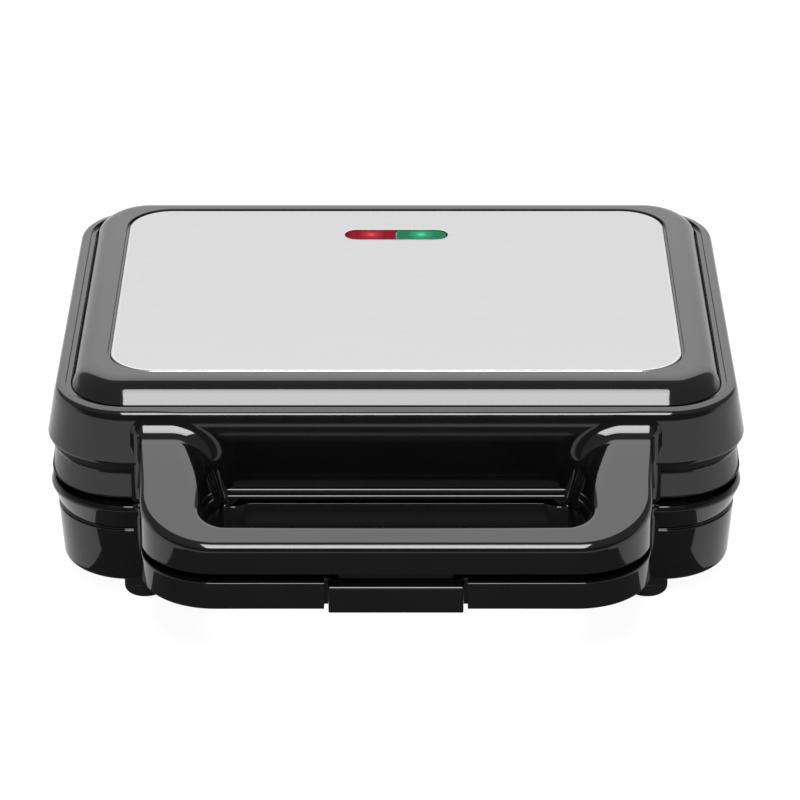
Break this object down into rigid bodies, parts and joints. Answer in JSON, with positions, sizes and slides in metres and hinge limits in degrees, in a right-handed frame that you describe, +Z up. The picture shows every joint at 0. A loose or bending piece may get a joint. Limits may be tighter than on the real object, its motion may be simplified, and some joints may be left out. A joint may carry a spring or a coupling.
{
  "type": "sandwich maker",
  "caption": "Closed electric sandwich maker: two hinged gloss black shells with heated pocket plates, a brushed steel top, lamp windows, a split loop handle and a flip latch.",
  "frame": {"origin": "on the table plane, under the middle of the whole object's bounding box", "axes": "+X to the right seen from the handle, +Y from the handle to the hinge, +Z up"},
  "size_m": [0.2618, 0.2664, 0.088],
  "materials": {
    "shell_black": "high gloss",
    "inner_black": "fine matte",
    "steel_plate": "brushed",
    "red_window": "clear red",
    "green_window": "clear green",
    "lamp_glass": "clear",
    "bracket": "matte",
    "cooking_plate": "dark non-stick",
    "heater_tube": "satin",
    "reflector": "satin",
    "fastener": "satin",
    "switch_can": "satin",
    "fuse_sleeve": "woven sleeve",
    "terminal_body": "matte",
    "rubber": "matte",
    "lead_sleeve": "braided sleeve"
  },
  "bodies": {
    "base": {"base_tub": "shell_black", "lower_cooking_plate": "cooking_plate", "lower_plate_screws": "fastener", "lower_heater": "heater_tube", "lower_reflector": "reflector", "hinge_pin_right": "fastener", "hinge_pin_left": "fastener", "thermostat": "switch_can", "thermal_fuse": "fuse_sleeve", "terminal_block": "terminal_body", "cord_gland": "rubber", "lid_lead": "lead_sleeve", "foot_front_left": "rubber", "foot_front_right": "rubber", "foot_rear_left": "rubber", "foot_rear_right": "rubber"},
    "lid": {"lid_cover": "shell_black", "steel_panel": "steel_plate", "red_lens": "red_window", "green_lens": "green_window", "lamp_bracket": "bracket", "red_lamp": "lamp_glass", "green_lamp": "lamp_glass", "upper_cooking_plate": "cooking_plate", "upper_plate_screws": "fastener", "upper_heater": "heater_tube", "upper_reflector": "reflector", "handle_cover": "inner_black", "handle_cover_screws": "fastener", "latch_pin": "fastener"},
    "latch": {"latch": "shell_black"}
  },
  "joints": [
    {"name": "lid_hinge", "type": "hinge", "parent": "base", "child": "lid", "pos_m": [0, 0.12825, 0.04415], "axis": [-1, 0, 0], "range_deg": [0, 100], "deforming": ["lid_lead"]},
    {"name": "latch_pivot", "type": "hinge", "parent": "lid", "child": "latch", "pos_m": [0, -0.12785, 0.0465], "axis": [-1, 0, 0], "range_deg": [-7, 35]}
  ]
}
